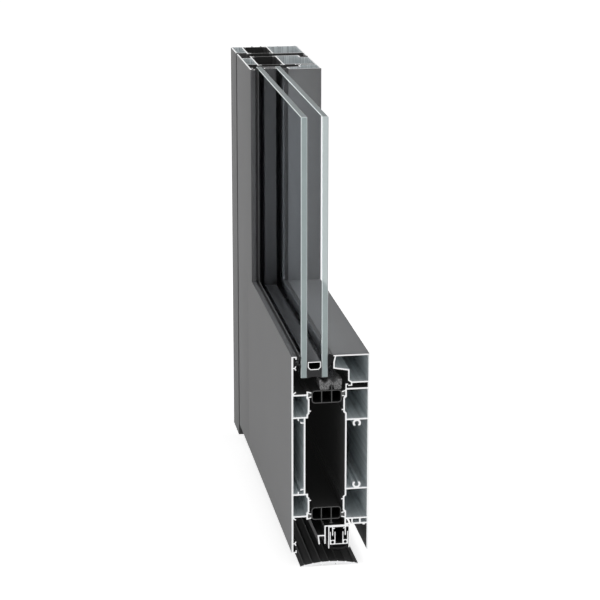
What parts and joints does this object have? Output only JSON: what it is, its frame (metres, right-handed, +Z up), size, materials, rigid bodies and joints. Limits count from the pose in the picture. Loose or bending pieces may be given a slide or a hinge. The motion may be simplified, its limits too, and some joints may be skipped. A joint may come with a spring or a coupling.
{
  "type": "entrance door corner section",
  "caption": "Cut corner of an insulated aluminium entrance door: jamb, glazed leaf with tall bottom rail, drop seal and threshold.",
  "frame": {"origin": "middle of the jamb's flat back, half way up", "axes": "+X across the door from the jamb to the cut end, +Y through the door from the outer to the inner face, +Z up"},
  "size_m": [0.451, 0.075, 0.44],
  "materials": {
    "coated_aluminium": "grey powder coat outside, bare inside",
    "bare_aluminium": "bare extruded",
    "black_aluminium": "black anodised",
    "insulating_plastic": "black, glass-filled",
    "gasket_rubber": "matt black",
    "edge_sealant": "matt dark grey",
    "clear_glass": "clear, polished",
    "spacer_metal": "dark grey",
    "grey_foam": "grey closed-cell foam"
  },
  "bodies": {
    "frame": {"jamb_outer_shell": "coated_aluminium", "jamb_inner_shell": "coated_aluminium", "jamb_back_bar": "insulating_plastic", "jamb_front_bar": "insulating_plastic", "jamb_stop_gasket": "gasket_rubber", "threshold_saddle": "black_aluminium"},
    "leaf": {"stile_outer_shell": "coated_aluminium", "stile_inner_shell": "coated_aluminium", "stile_back_bar": "insulating_plastic", "stile_front_bar": "insulating_plastic", "rail_outer_shell": "coated_aluminium", "rail_inner_shell": "coated_aluminium", "rail_upper_bar": "insulating_plastic", "rail_lower_bar": "insulating_plastic", "stile_bead": "coated_aluminium", "rail_bead": "coated_aluminium", "outer_pane": "clear_glass", "inner_pane": "clear_glass", "stile_spacer": "spacer_metal", "rail_spacer": "spacer_metal", "stile_edge_seal": "edge_sealant", "rail_edge_seal": "edge_sealant", "stile_outer_gasket": "gasket_rubber", "rail_outer_gasket": "gasket_rubber", "stile_inner_gasket": "gasket_rubber", "rail_inner_gasket": "gasket_rubber", "rebate_foam": "grey_foam", "drop_seal_bracket": "bare_aluminium", "drop_seal_housing": "bare_aluminium"},
    "seal": {"drop_seal_carrier": "bare_aluminium", "drop_seal_rubber": "gasket_rubber"}
  },
  "joints": [
    {"name": "leaf_swing", "type": "hinge", "parent": "frame", "child": "leaf", "pos_m": [0.049, -0.0627, 0.0075], "axis": [0, 0, -1], "range_deg": [0, 90]},
    {"name": "seal_drop", "type": "slide", "parent": "leaf", "child": "seal", "axis": [0, 0, -1], "range_m": [0, 0.0115], "stiffness_N_per_m": 500, "springref_m": -0.008}
  ]
}
